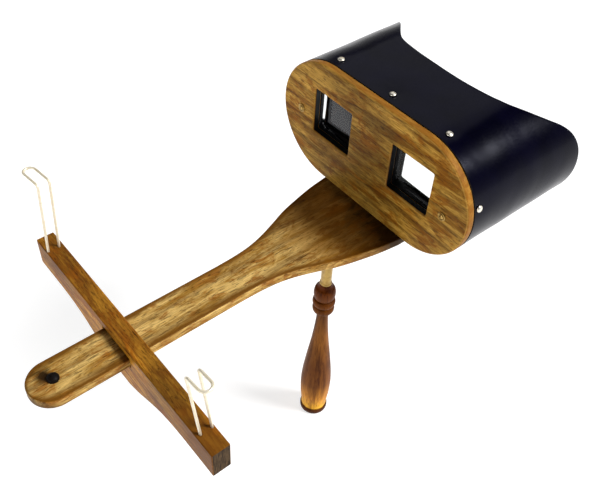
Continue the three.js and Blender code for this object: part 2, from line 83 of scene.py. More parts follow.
end_radius = (face_hi.z - face_lo.z) / 2
mid_z = (face_hi.z + face_lo.z) / 2
end_x = face_hi.x - end_radius
beam_top = beam_hi.z
leather = 2 * MM
window_x = 35 * MM
window_z = beam_top + 47.7 * MM
window_width = 34 * MM
window_height = 33 * MM
pocket_rim = 1.5 * MM
lens_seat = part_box("lens_left")[0].y
lens_radius = 90 * MM
lens_shift = 12 * MM
lens_thick = 6.4 * MM
hood_reach = 105 * MM
beam_half = 14.1 * MM
# The beam's half width, by distance in front of the face board. Millimetres.
beam_flare = [
    (0, 37),
    (14.6, 34.9),
    (28, 32),
    (43, 28.1),
    (54, 24),
    (68, 19),
    (80, 16),
    (92, 14.6),
    (106, 14.1),
]
tail_y = beam_lo.y + beam_half
# The same outline as (y, half width), from the round tail's tip to the face board.
beam_outline = [
    (tail_y - beam_half * math.cos(a), beam_half * math.sin(a))
    for a in (math.radians(15 * i) for i in range(7))
]
beam_outline += [(face_lo.y - d * MM, half * MM) for d, half in beam_flare[::-1]]
pivot = Vector(next(j["pos_m"] for j in frame["joints"] if j["name"] == "handle_fold"))


# ---- Camera, floor and light ---------------------------------------------------------
def make_camera():
    """Stands in front of the card carrier's right end, looking down at the face board."""
    azimuth = math.radians(48.2)
    elevation = math.radians(45.6)
    roll = math.radians(3.46)
    turn = (
        Matrix.Rotation(azimuth, 4, "Z")
        @ Matrix.Rotation(math.pi / 2 - elevation, 4, "X")
        @ Matrix.Rotation(roll, 4, "Z")
    )
    camera = bpy.data.objects.new("camera", bpy.data.cameras.new("camera"))
    camera.data.sensor_width = 36
    camera.data.lens = 48.12
    camera.data.clip_start = 0.01
    camera.matrix_world = Matrix.Translation((0.2582, -0.2617, 0.5686)) @ turn
    scene.collection.objects.link(camera)
    scene.camera = camera


def make_floor():
    size = 4.0
    mesh = bpy.data.meshes.new("floor")
    corners = [(-size, -size, 0), (size, -size, 0), (size, size, 0), (-size, size, 0)]
    mesh.from_pydata(corners, [], [(0, 1, 2, 3)])
    floor = bpy.data.objects.new("floor", mesh)
    scene.collection.objects.link(floor)
    paper = bpy.data.materials.new("white_paper")
    paper.use_nodes = True
    shader = paper.node_tree.nodes["Principled BSDF"]
    shader.inputs["Base Color"].default_value = (0.50, 0.50, 0.50, 1)
    shader.inputs["Roughness"].default_value = 0.95
    shader.inputs["Specular IOR Level"].default_value = 0.1
    shader.inputs["Emission Color"].default_value = (1, 1, 1, 1)
    shader.inputs["Emission Strength"].default_value = 0.72
    mesh.materials.append(paper)
    floor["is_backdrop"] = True


def add_sun(name, azimuth, elevation, strength, spread):
    """A soft distant light that shines from that azimuth (0 is -Y, 90 is +X) and elevation."""
    light = bpy.data.lights.new(name, "SUN")
    light.energy = strength
    light.angle = math.radians(spread)
    lamp = bpy.data.objects.new(name, light)
    a, e = math.radians(azimuth), math.radians(elevation)
    towards = Vector((math.sin(a) * math.cos(e), -math.cos(a) * math.cos(e), math.sin(e)))
    lamp.rotation_euler = towards.to_track_quat("Z", "Y").to_euler()
    scene.collection.objects.link(lamp)


def make_light():
    """White surroundings low down, dark overhead, a soft key behind the right and a front fill."""
    world = bpy.data.worlds.new("studio")
    world.use_nodes = True
    nodes, links = world.node_tree.nodes, world.node_tree.links
    direction = nodes.new("ShaderNodeTexCoord")
    split = nodes.new("ShaderNodeSeparateXYZ")
    height = nodes.new("ShaderNodeMapRange")
    height.inputs["From Min"].default_value = 0.0
    height.inputs["From Max"].default_value = 0.32
    height.inputs["To Min"].default_value = 0.60
    height.inputs["To Max"].default_value = 0.03
    links.new(direction.outputs["Generated"], split.inputs[0])
    links.new(split.outputs["Z"], height.inputs["Value"])
    links.new(height.outputs["Result"], nodes["Background"].inputs["Strength"])
    nodes["Background"].inputs["Color"].default_value = (1, 1, 1, 1)
    scene.world = world
    add_sun("key", azimuth=131, elevation=44, strength=3.7, spread=22)
    add_sun("sky", azimuth=228, elevation=50, strength=0.45, spread=50)
    add_sun("fill", azimuth=0, elevation=7, strength=0.9, spread=40)
    scene.view_settings.view_transform = "Standard"


# ---- Shader nodes --------------------------------------------------------------------
class Shader:
    """One procedural material: its node tree and short calls that add and link nodes."""

    def __init__(self, name):
        self.material = bpy.data.materials.new(name)
        self.material.use_nodes = True
        self.tree = self.material.node_tree
        self.bsdf = self.tree.nodes["Principled BSDF"]

    def feed(self, socket, value):
        if isinstance(value, bpy.types.NodeSocket):
            self.tree.links.new(value, socket)
        else:
            socket.default_value = value

    def node(self, kind, inputs=None, **settings):
        made = self.tree.nodes.new("ShaderNode" + kind)
        for key, value in settings.items():
            setattr(made, key, value)
        for key, value in (inputs or {}).items():
            self.feed(made.inputs[key], value)
        return made

    def finish(self, colour=None, roughness=None, normal=None, **constants):
        """Links or sets the main sockets, sets the others by name, and gives the material."""
        named = {"Base Color": colour, "Roughness": roughness, "Normal": normal}
        for key, value in named.items():
            if value is not None:
                self.feed(self.bsdf.inputs[key], value)
        for key, value in constants.items():
            socket = {"specular": "Specular IOR Level", "metallic": "Metallic"}[key]
            self.bsdf.inputs[socket].default_value = value
        return self.material

    def coordinates(self, scale=(1, 1, 1), rotation=(0, 0, 0), offset=(0, 0, 0)):
        source = self.node("TexCoord").outputs["Object"]
        inputs = {"Vector": source, "Scale": scale, "Rotation": rotation, "Location": offset}
        return self.node("Mapping", inputs).outputs["Vector"]

    def noise(self, vector, scale, detail=4, roughness=0.55, distortion=0):
        inputs = {"Vector": vector, "Scale": scale, "Detail": detail}
        inputs.update({"Roughness": roughness, "Distortion": distortion})
        return self.node("TexNoise", inputs).outputs["Fac"]

    def remap(self, value, low, high, to_low=0.0, to_high=1.0):
        inputs = {"Value": value, "From Min": low, "From Max": high}
        inputs.update({"To Min": to_low, "To Max": to_high})
        return self.node("MapRange", inputs).outputs["Result"]

    def math(self, operation, first, second=0.0):
        return self.node("Math", {0: first, 1: second}, operation=operation).outputs[0]

    def mix(self, factor, first, second, blend="MIX"):
        made = self.node("Mix", data_type="RGBA", blend_type=blend)
        self.feed(made.inputs[0], factor)
        for socket, value in ((made.inputs[6], first), (made.inputs[7], second)):
            self.feed(socket, value if isinstance(value, bpy.types.NodeSocket) else (*value, 1))
        return made.outputs[2]

    def bump(self, height, strength, distance):
        inputs = {"Height": height, "Strength": strength, "Distance": distance}
        return self.node("Bump", inputs).outputs["Normal"]

    def at(self, axis):
        """The place along an object axis."""
        place = self.node("TexCoord").outputs["Object"]
        return self.node("SeparateXYZ", {0: place}).outputs[axis]

    def facing(self, axis):
        """The surface normal's share along an object axis."""
        normal = self.node("TexCoord").outputs["Normal"]
        return self.node("SeparateXYZ", {0: normal}).outputs[axis]

    def half_width(self, outline):
        """The half width at this place along Y, from an outline of (y, half width) pairs."""
        low, high = outline[0][0], outline[-1][0]
        widest = max(half for _, half in outline)
        made = self.node("FloatCurve", {"Value": self.remap(self.at("Y"), low, high)})
        points = made.mapping.curves[0].points
        while len(points) < len(outline):
            points.new(0.5, 0.5)
        for point, (y, half) in zip(points, outline):
            point.location = ((y - low) / (high - low), half / widest)
            point.handle_type = "VECTOR"
        made.mapping.update()
        return self.math("MULTIPLY", made.outputs["Value"], widest)


def wood_material(
    name, colours, grain, gloss=0.42, edge=None, edge_highlight_tone=None, margin=None, stains_and_shade=(), seed=0.0,
    streaks=1.0, pores=1.0,
):
    """Oiled open-grained wood.

    colours are the light, middle, dark and reddish tones. grain is the axis that the fibres run
    along. edge is (axis, colour, depth): faces that look away from the axis take that colour,
    and the pale tone given for the rounded edge between is a painted highlight there. margin is
    (outline, colour, width): the top darkens to that colour near its outline. Each darker patch
    is (centre, radii, depth, colour); some are the wood's own stain, some are painted shade.
    """
    s = Shader(name)
    light, middle, dark, reddish = colours
    along = {"X": (1, 0, 0), "Y": (0, 1, 0), "Z": (0, 0, 1)}[grain]

    def stretched(lengthwise, across):
        scale = tuple(lengthwise if a else across for a in along)
        return s.coordinates(scale, offset=(seed, seed * 0.7, seed * 1.3))

    figure = s.noise(stretched(20, 150), 1.0, detail=7, roughness=0.66, distortion=1.2)
    mottle = s.noise(stretched(55, 120), 1.0, detail=6, roughness=0.66, distortion=0.6)
    broad = s.noise(stretched(14, 26), 1.0, detail=3, roughness=0.5)
    fibres = s.noise(stretched(60, 1000), 1.0, detail=5, roughness=0.7, distortion=0.3)
    flecks = s.noise(stretched(230, 1500), 1.0, detail=2, roughness=0.5, distortion=0.5)
    long_pores = s.noise(stretched(95, 760), 1.0, detail=3, roughness=0.55, distortion=0.4)
    rings = s.node(
        "TexWave",
        {
            "Vector": stretched(1.8, 17),
            "Scale": 1.5,
            "Distortion": 7.0,
            "Detail": 3.0,
            "Detail Scale": 1.2,
            "Detail Roughness": 0.6,
        },
        wave_type="BANDS",
        wave_profile="SAW",
        bands_direction={"X": "Z", "Y": "X", "Z": "X"}[grain],
    ).outputs["Fac"]
    pore_colour = tuple(0.25 * c for c in dark)
    colour = s.mix(s.remap(figure, 0.41, 0.59), middle, light)
    colour = s.mix(s.remap(mottle, 0.50, 0.60, 0.0, 0.85), colour, reddish)
    colour = s.mix(s.remap(mottle, 0.46, 0.36, 0.0, 0.6), colour, light)
    colour = s.mix(s.remap(broad, 0.50, 0.72, 0.0, 0.6 * streaks), colour, dark)
    colour = s.mix(s.remap(rings, 0.66, 1.0, 0.0, 0.55 * streaks), colour, dark)
    colour = s.mix(s.remap(fibres, 0.44, 0.64, 0.0, 0.35), colour, dark)
    colour = s.mix(s.remap(long_pores, 0.58, 0.68, 0.0, 0.6 * pores), colour, pore_colour)
    open_pores = s.remap(flecks, 0.58, 0.66)
    colour = s.mix(s.math("MULTIPLY", open_pores, 0.6 * pores), colour, pore_colour)
    if edge:
        axis, edge_colour, depth = edge
        facing = s.math("ABSOLUTE", s.facing(axis))
        colour = s.mix(s.remap(facing, 0.25, 0.75, depth, 0.0), colour, edge_colour)
        # The pale band on the rounded edge between is a painted highlight, not edge wear.
        rounded = s.math("ABSOLUTE", s.math("SUBTRACT", facing, 0.72))
        ragged = s.remap(mottle, 0.35, 0.62, 0.25, 1.0)
        rubbed = s.math("MULTIPLY", s.remap(rounded, 0.0, 0.25, 0.8, 0.0), ragged)
        colour = s.mix(rubbed, colour, edge_highlight_tone)
    if margin:
        outline, margin_colour, width = margin
        inside = s.math("SUBTRACT", s.half_width(outline), s.math("ABSOLUTE", s.at("X")))
        ragged = s.math("ADD", inside, s.remap(mottle, 0.35, 0.65, -1.2 * MM, 1.2 * MM))
        close = s.remap(ragged, 0.4 * width, width, 0.95, 0.0)
        on_top = s.remap(s.facing("Z"), 0.6, 0.9)
        colour = s.mix(s.math("MULTIPLY", close, on_top), colour, margin_colour)
    # Darker patches: on the face board and bar they are the wood's own stain, on the beam mostly
    # painted shade.
    for centre, radii, depth, stain_and_shade_colour in stains_and_shade:
        place = s.node("TexCoord").outputs["Object"]
        offset = s.node("VectorMath", {0: place, 1: centre}, operation="SUBTRACT").outputs[0]
        shape = s.node("VectorMath", {0: offset, 1: radii}, operation="DIVIDE").outputs[0]
        away = s.node("VectorMath", {0: shape}, operation="LENGTH").outputs["Value"]
        ragged = s.math("ADD", away, s.remap(mottle, 0.3, 0.7, -0.28, 0.28))
        colour = s.mix(s.remap(ragged, 0.35, 1.0, depth, 0.0), colour, stain_and_shade_colour)
    roughness = s.remap(fibres, 0.3, 0.7, gloss - 0.05, gloss + 0.14)
    relief = s.math("SUBTRACT", s.math("MULTIPLY", fibres, 0.35), open_pores)
    return s.finish(colour, roughness, s.bump(relief, 0.35, 0.12 * MM), specular=0.07)


def end_grain_material(name, light, dark):
    """The sawn end of a board: matt, greyish, with close upright streaks."""
    s = Shader(name)
    streaks = s.noise(s.coordinates((90, 1300, 120)), 1.0, detail=4, roughness=0.6, distortion=0.2)
    cloudy = s.noise(s.coordinates(), 240.0, detail=4, roughness=0.6)
    colour = s.mix(s.remap(streaks, 0.38, 0.60), dark, light)
    colour = s.mix(s.remap(cloudy, 0.48, 0.72, 0.0, 0.5), colour, dark)
    return s.finish(colour, 0.8, s.bump(streaks, 0.4, 0.12 * MM), specular=0.15)


def turned_material(name, bands, seed):
    """Turned and polished wood whose tone follows the height: bands are (z, colour)."""
    s = Shader(name)
    low, high = bands[0][0] * MM, bands[-1][0] * MM
    ramp = s.node("ValToRGB", {"Fac": s.remap(s.at("Z"), low, high)})
    tone = ramp.outputs["Color"]
    elements = ramp.color_ramp.elements
    while len(elements) < len(bands):
        elements.new(0.5)
    for element, (z, colour) in zip(elements, bands):
        element.position = (z * MM - low) / (high - low)
        element.color = (*colour, 1)
    streaks = s.noise(s.coordinates((230, 230, 16), offset=(seed,) * 3), 1.0, detail=5, roughness=0.62)
    fibres = s.noise(s.coordinates((1100, 1100, 70)), 1.0, detail=3, roughness=0.6)
    lathe_marks = s.noise(s.coordinates((5, 5, 1500)), 1.0, detail=2)
    darker = s.mix(1.0, tone, (0.30, 0.22, 0.16), "MULTIPLY")
    colour = s.mix(s.remap(streaks, 0.44, 0.66, 0.0, 0.85), tone, darker)
    colour = s.mix(s.remap(fibres, 0.54, 0.66, 0.0, 0.6), colour, darker)
    roughness = s.remap(streaks, 0.3, 0.7, 0.34, 0.48)
    relief = s.math("ADD", s.math("MULTIPLY", lathe_marks, 0.5), fibres)
    return s.finish(colour, roughness, s.bump(relief, 0.22, 0.08 * MM), specular=0.06)


def leather_material():
    """Smooth black leather with a faint blue tone, a fine grain and a soft sheen."""
    s = Shader("hood_leather")
    place = s.coordinates()
    cells = s.node("TexVoronoi", {"Vector": place, "Scale": 1500.0}, feature="SMOOTH_F1")
    soft = s.noise(place, 45.0, detail=2)
    grain = s.noise(place, 900.0, detail=3)
    creases = s.noise(s.coordinates((20, 34, 20)), 1.0, detail=2, roughness=0.45, distortion=0.4)
    tint = s.mix(s.remap(soft, 0.35, 0.65), (0.0004, 0.0003, 0.0040), (0.0010, 0.0008, 0.0070))
    height = s.math("ADD", s.math("MULTIPLY", cells.outputs["Distance"], 0.6), grain)
    fine = s.bump(height, 0.10, 0.06 * MM)
    inputs = {"Height": creases, "Strength": 0.3, "Distance": 1.5 * MM, "Normal": fine}
    normal = s.node("Bump", inputs).outputs["Normal"]
    s.bsdf.inputs["Specular Tint"].default_value = (0.80, 0.82, 1.0, 1)
    return s.finish(tint, s.remap(grain, 0.3, 0.7, 0.18, 0.26), normal, specular=0.085)


def suede_material():
    """The hood's inner side: dark grey, dull and a little fuzzy."""
    s = Shader("hood_lining")
    place = s.coordinates()
    nap = s.noise(place, 700.0, detail=4, roughness=0.7)
    colour = s.mix(nap, (0.006, 0.0055, 0.007), (0.017, 0.016, 0.019))
    s.bsdf.inputs["Sheen Weight"].default_value = 0.05
    return s.finish(colour, 0.85, s.bump(nap, 0.4, 0.15 * MM))


def paint_material(name, roughness):
    """Matte black paint with faint brush marks and grey-brown rubbed spots."""
    s = Shader(name)
    brushed = s.noise(s.coordinates((260, 60, 260)), 1.0, detail=4, roughness=0.65)
    rubbed = s.remap(s.noise(s.coordinates(), 160.0, detail=5, roughness=0.7), 0.60, 0.72, 0, 0.35)
    colour = s.mix(rubbed, (0.004, 0.004, 0.005), (0.030, 0.025, 0.021))
    uneven = s.remap(brushed, 0.3, 0.7, roughness - 0.06, roughness + 0.1)
    return s.finish(colour, uneven, s.bump(brushed, 0.2, 0.08 * MM), specular=0.22)


def brass_material(name, bright, tarnished, roughness, metallic=1.0):
    """Brass with fine handling scratches and a thin uneven tarnish."""
    s = Shader(name)
    cloudy = s.noise(s.coordinates(), 260.0, detail=5, roughness=0.6)
    scratched = s.noise(s.coordinates((500, 2600, 900)), 1.0, detail=3)
    colour = s.mix(s.remap(cloudy, 0.45, 0.72, 0, 0.8), bright, tarnished)
    uneven = s.remap(cloudy, 0.3, 0.7, roughness - 0.06, roughness + 0.12)
    return s.finish(colour, uneven, s.bump(scratched, 0.08, 0.03 * MM), metallic=metallic)


def steel_material():
    """Blued spring steel, nearly black, with rolling marks."""
    s = Shader("spring_steel")
    rolled = s.noise(s.coordinates((900, 120, 900)), 1.0, detail=4)
    colour = s.mix(rolled, (0.012, 0.012, 0.015), (0.030, 0.029, 0.034))
    roughness = s.remap(rolled, 0.3, 0.7, 0.45, 0.6)
    return s.finish(colour, roughness, s.bump(rolled, 0.15, 0.03 * MM), metallic=1.0)


def glass_material():
    """Clear lens glass with a very faint smear of dust."""
    s = Shader("lens_glass")
    dust = s.noise(s.coordinates(), 130.0, detail=6, roughness=0.7)
    s.bsdf.inputs["Transmission Weight"].default_value = 1.0
    s.bsdf.inputs["IOR"].default_value = 1.3
    return s.finish((0.97, 0.99, 0.99, 1), s.remap(dust, 0.55, 0.8, 0.0, 0.06))


black_brown = (0.010, 0.0033, 0.0008)
warm_brown = (0.460, 0.170, 0.007)
beam_shade_and_stains = [
    # The first three darken the beam towards the face board: painted shade where the board and hood
    # cast their shadow.
    (Vector((0.006, 0.006, beam_top)), Vector((0.052, 0.044, 0.02)), 0.55, warm_brown),
    (Vector((0.030, 0.024, beam_top)), Vector((0.047, 0.022, 0.02)), 0.90, black_brown),
    (Vector((-0.012, 0.026, beam_top)), Vector((0.034, 0.010, 0.02)), 0.60, black_brown),
    # Round the stop pin and reaching to its left: partly a dark stain, partly the pin's painted
    # shadow.
    (Vector((-0.0045, stop_lo.y, beam_top)), Vector((0.0080, 0.0062, 0.01)), 0.95, black_brown),
    # Darker round the tail's tip and its underside.
    (Vector((0, beam_lo.y, beam_lo.z)), Vector((0.024, 0.022, 0.0085)), 0.85, (0.090, 0.034, 0.004)),
]
face_stains = [
    (Vector((0.004, face_lo.y, window_z - 0.010)), Vector((0.036, 0.02, 0.040)), 0.48, black_brown),
    (Vector((-0.034, face_lo.y, mid_z - 0.026)), Vector((0.040, 0.02, 0.020)), 0.34, black_brown),
    (Vector((-0.020, face_lo.y, mid_z + 0.036)), Vector((0.030, 0.02, 0.010)), 0.26, black_brown),
]
bar_stains = [
    (Vector((-0.070, bar_lo.y, bar_hi.z)), Vector((0.034, 0.02, 0.02)), 0.35, black_brown),
    (Vector((0.052, bar_lo.y, bar_hi.z)), Vector((0.024, 0.02, 0.02)), 0.25, black_brown),
    (Vector((0.086, bar_lo.y, bar_hi.z)), Vector((0.034, 0.02, 0.03)), 0.85, (0.150, 0.050, 0.004)),
]
# Light, middle, dark and reddish tones of each wood.
face_colours = [
    (0.64, 0.360, 0.062), (0.275, 0.122, 0.010), (0.042, 0.013, 0.002), (0.310, 0.105, 0.005),
]
beam_colours = [
    (0.80, 0.530, 0.170), (0.400, 0.205, 0.032), (0.080, 0.030, 0.006), (0.330, 0.120, 0.012),
]
bar_colours = [
    (0.66, 0.300, 0.026), (0.290, 0.100, 0.007), (0.044, 0.012, 0.002), (0.380, 0.115, 0.005),
]
peg_colours = [
    (0.010, 0.008, 0.008), (0.006, 0.005, 0.005), (0.003, 0.002, 0.002), (0.008, 0.005, 0.004),
]
# Near-black tones for the inside of the bar's slot: painted shade.
slot_shade_colours = [
    (0.014, 0.008, 0.005), (0.008, 0.005, 0.003), (0.003, 0.002, 0.001), (0.010, 0.005, 0.003),
]
grip_bands = [
    (0, (0.075, 0.020, 0.004)),
    (5.5, (0.095, 0.028, 0.005)),
    (7, (0.98, 0.500, 0.030)),
    (22, (0.66, 0.260, 0.020)),
    (40, (0.220, 0.070, 0.007)),
    (62, (0.140, 0.042, 0.005)),
    (92, (0.260, 0.092, 0.012)),
    (121, (0.150, 0.052, 0.009)),
    (131, (0.170, 0.050, 0.005)),
    (153, (0.120, 0.028, 0.004)),
]
materials = {
    # The face board's pale edge tone is a painted highlight on its rounded edges.
    "face": wood_material(
        "face_wood", face_colours, "X", edge=("Y", (0.33, 0.125, 0.014), 0.6),
        edge_highlight_tone=(0.62, 0.33, 0.075), stains_and_shade=face_stains, seed=0.31, streaks=0.9, pores=0.9,
    ),
    "beam": wood_material(
        "beam_wood", beam_colours, "Y", margin=(beam_outline, (0.160, 0.060, 0.004), 4.6 * MM),
        stains_and_shade=beam_shade_and_stains, seed=1.7, streaks=0.9,
    ),
    "bar": wood_material(
        "bar_wood", bar_colours, "X", gloss=0.38, stains_and_shade=bar_stains, seed=3.1, streaks=0.8, pores=0.9
    ),
    "bar_end": end_grain_material("bar_end_grain", (0.105, 0.062, 0.028), (0.022, 0.012, 0.005)),
    "slot_shade": wood_material("slot_painted_shade", slot_shade_colours, "Y", gloss=0.7, seed=3.7),
    "peg": wood_material("peg_wood", peg_colours, "Z", gloss=0.42, seed=4.4),
    "grip": turned_material("grip_wood", grip_bands, 5.2),
    "leather": leather_material(),
    "lining": suede_material(),
    "black_wood": paint_material("black_painted_wood", 0.5),
    "black_metal": paint_material("black_painted_metal", 0.38),
    "brass": brass_material("brass", (0.44, 0.29, 0.09), (0.26, 0.15, 0.04), 0.30),
    "pale_brass": brass_material("pale_brass", (0.97, 0.92, 0.80), (0.84, 0.72, 0.50), 0.34),
    "wire": brass_material("brass_wire", (0.92, 0.84, 0.66), (0.80, 0.68, 0.44), 0.36, 0.45),
    "steel": steel_material(),
    "glass": glass_material(),
}


# ---- Mesh helpers --------------------------------------------------------------------
def new_object(name, mesh):
    made = bpy.data.objects.new(name, mesh)
    scene.collection.objects.link(made)
    return made


def mesh_from(vertices, faces, name="mesh"):
    mesh = bpy.data.meshes.new(name)
    mesh.from_pydata(vertices, [], faces)
    return mesh


def clean(mesh):
    """Merges doubled vertices and turns every face outwards."""
    work = bmesh.new()
    work.from_mesh(mesh)
    bmesh.ops.remove_doubles(work, verts=work.verts, dist=1e-6)
    bmesh.ops.dissolve_degenerate(work, edges=work.edges, dist=1e-7)
    bmesh.ops.recalc_face_normals(work, faces=work.faces)
    work.to_mesh(mesh)
    work.free()
    return mesh


def evaluated_mesh(obj):
    """The object's mesh with its modifiers applied. The object itself is removed."""
    bpy.context.view_layer.update()
    ready = obj.evaluated_get(bpy.context.evaluated_depsgraph_get())
    mesh = bpy.data.meshes.new_from_object(ready)
    data = obj.data
    bpy.data.objects.remove(obj)
    if isinstance(data, bpy.types.Curve):
        bpy.data.curves.remove(data)
    return mesh


AXES = {"X": ("y", "z", "x"), "Y": ("x", "z", "y"), "Z": ("x", "y", "z")}


def prism(loops, axis, low, high, bevel, rounds=3):
    """A slab with rounded edges: 2D loops, the first one outside, run from low to high.

    The loops are in (y, z), (x, z) or (x, y) for the axes X, Y and Z.
    """
    curve = bpy.data.curves.new("prism", "CURVE")
    curve.dimensions = "2D"
    curve.fill_mode = "BOTH"
    for loop in loops:
        spline = curve.splines.new("POLY")
        spline.points.add(len(loop) - 1)
        for point, (u, v) in zip(spline.points, loop):
            point.co = (u, v, 0, 1)
        spline.use_cyclic_u = True
    curve.extrude = (high - low) / 2 - bevel
    curve.bevel_depth = bevel
    curve.bevel_resolution = rounds
    curve.offset = -bevel
    mesh = evaluated_mesh(new_object("prism", curve))
    middle = (low + high) / 2
    first, second, third = AXES[axis]
    for vertex in mesh.vertices:
        u, v, w = vertex.co
        place = Vector()
        setattr(place, first, u)
        setattr(place, second, v)
        setattr(place, third, w + middle)
        vertex.co = place
    return clean(mesh)


def lathe(profile, segments=48):
    """Turns (radius, height) points about Z. The profile starts and ends on the axis."""
    vertices = []
    rings = []
    for radius, height in profile:
        if radius < 1e-7:
            rings.append([len(vertices)])
            vertices.append((0, 0, height))
            continue
        rings.append(list(range(len(vertices), len(vertices) + segments)))
        for i in range(segments):
            a = 2 * math.pi * i / segments
            vertices.append((radius * math.cos(a), radius * math.sin(a), height))
    faces = []
    for below, above in zip(rings, rings[1:]):
        for i in range(segments):
            j = (i + 1) % segments
            quad = [below[i % len(below)], below[j % len(below)]]
            quad += [above[j % len(above)], above[i % len(above)]]
            face = list(dict.fromkeys(quad))
            if len(face) > 2:
                faces.append(face)
    return clean(mesh_from(vertices, faces))


def ring(profile, segments=40):
    """A closed profile turned about Z, clear of the axis."""
    count = len(profile)
    vertices = []
    for i in range(segments):
        a = 2 * math.pi * i / segments
        vertices += [(r * math.cos(a), r * math.sin(a), z) for r, z in profile]
    faces = []
    for i in range(segments):
        after = (i + 1) % segments
        for j in range(count):
            k = (j + 1) % count
            faces.append([i * count + j, after * count + j, after * count + k, i * count + k])
    return clean(mesh_from(vertices, faces))


def joined(meshes):
    """One mesh that holds several closed shells."""
    together = bmesh.new()
    for mesh in meshes:
        together.from_mesh(mesh)
    result = bpy.data.meshes.new("joined")
    together.to_mesh(result)
    together.free()
    return result


def block(low, high, bevel=0.0):
    """An axis-aligned box between two corners, with rounded edges if bevel is given."""
    outline = rounded_rectangle(low[0], low[1], high[0], high[1], max(bevel, 1e-5), 2)
    return prism([outline], "Z", low[2], high[2], max(bevel, 1e-5), 1)


def boolean(mesh, tools, operation="DIFFERENCE"):
    """Cuts or joins other meshes, one by one."""
    target = new_object("boolean", mesh)
    helpers = []
    for tool in tools:
        helper = new_object("tool", tool)
        helpers.append(helper)
        modifier = target.modifiers.new("cut", "BOOLEAN")
        modifier.operation = operation
        modifier.solver = "EXACT"
        modifier.object = helper
    result = evaluated_mesh(target)
    for helper in helpers:
        bpy.data.objects.remove(helper)
    return clean(result)


def moved(mesh, matrix):
    mesh.transform(matrix)
    return mesh


def arc(cx, cy, radius, start, end, steps):
    """Points on an arc, angles in degrees, without the last one."""
    angles = [math.radians(start + (end - start) * i / steps) for i in range(steps)]
    return [(cx + radius * math.cos(a), cy + radius * math.sin(a)) for a in angles]


def rounded_rectangle(x0, y0, x1, y1, radius, steps=6):
    points = []
    for cx, cy, start in (
        (x1 - radius, y0 + radius, -90),
        (x1 - radius, y1 - radius, 0),
        (x0 + radius, y1 - radius, 90),
        (x0 + radius, y0 + radius, 180),
    ):
        points += arc(cx, cy, radius, start, start + 90, steps)
        a = math.radians(start + 90)
        points.append((cx + radius * math.cos(a), cy + radius * math.sin(a)))
    return points


def spline_through(points, steps):
    """Catmull-Rom curve through 2D points, with steps pieces between two neighbours."""
    ends = [points[0], *points, points[-1]]
    result = []
    for p0, p1, p2, p3 in zip(ends, ends[1:], ends[2:], ends[3:]):
        for i in range(steps):
            t = i / steps
            result.append(
                tuple(
                    0.5
                    * (
                        2 * b
                        + (c - a) * t
                        + (2 * a - 5 * b + 4 * c - d) * t * t
                        + (3 * b - a - 3 * c + d) * t**3
                    )
                    for a, b, c, d in zip(p0, p1, p2, p3)
                )
            )
    return [*result, tuple(points[-1])]


def piece(node, mesh, material_names, sharp=32):
    """Makes a mesh the visible piece for a CAD node, riding on that node's body."""
    obj = new_object(node + "_look", mesh)
    mesh.materials.clear()
    for name in material_names:
        mesh.materials.append(materials[name])
    mesh.polygons.foreach_set("use_smooth", [True] * len(mesh.polygons))
    mesh.set_sharp_from_angle(angle=math.radians(sharp))
    weighted = obj.modifiers.new("even_normals", "WEIGHTED_NORMAL")
    weighted.keep_sharp = True
    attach(obj, body_of[node])
    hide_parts(node)
    return obj


# ---- Face board, lens block, lenses --------------------------------------------------
def board_loop(radius, steps=40):
    right = arc(end_x, mid_z, radius, -90, 90, steps)
    left = arc(-end_x, mid_z, radius, 90, 270, steps)
    return [*right, (end_x, mid_z + radius), *left, (-end_x, mid_z - radius)]


def window_loop(side, grow=0.0, corner=0.8 * MM):
    x = side * window_x
    w = window_width / 2 + grow
    h = window_height / 2 + grow
    return rounded_rectangle(x - w, window_z - h, x + w, window_z + h, corner)


def in_window(point):
    reach = 1.0 * MM
    beside = abs(abs(point.x) - window_x) < window_width / 2 + reach
    return beside and abs(point.z - window_z) < window_height / 2 + reach


def make_face_board():
    loops = [board_loop(end_radius), window_loop(-1), window_loop(1)]
    mesh = prism(loops, "Y", face_lo.y, face_hi.y, 1.5 * MM, 5)
    obj = piece("face_board", mesh, ["face", "black_wood"])
    for polygon in mesh.polygons:
        if in_window(polygon.center) and abs(polygon.normal.y) < 0.3:
            polygon.material_index = 1
    return obj


def make_lens_block():
    loops = [board_loop(block_hi.z - mid_z), window_loop(-1), window_loop(1)]
    mesh = prism(loops, "Y", block_lo.y, block_hi.y, 0.25 * MM, 1)
    pockets = []
    for side in (-1, 1):
        w = window_width / 2 + pocket_rim
        h = window_height / 2 + pocket_rim
        low = (side * window_x - w, lens_seat, window_z - h)
        high = (side * window_x + w, block_hi.y + 2 * MM, window_z + h)
        pockets.append(block(low, high))
    piece("lens_block", boolean(mesh, pockets), ["black_wood"])


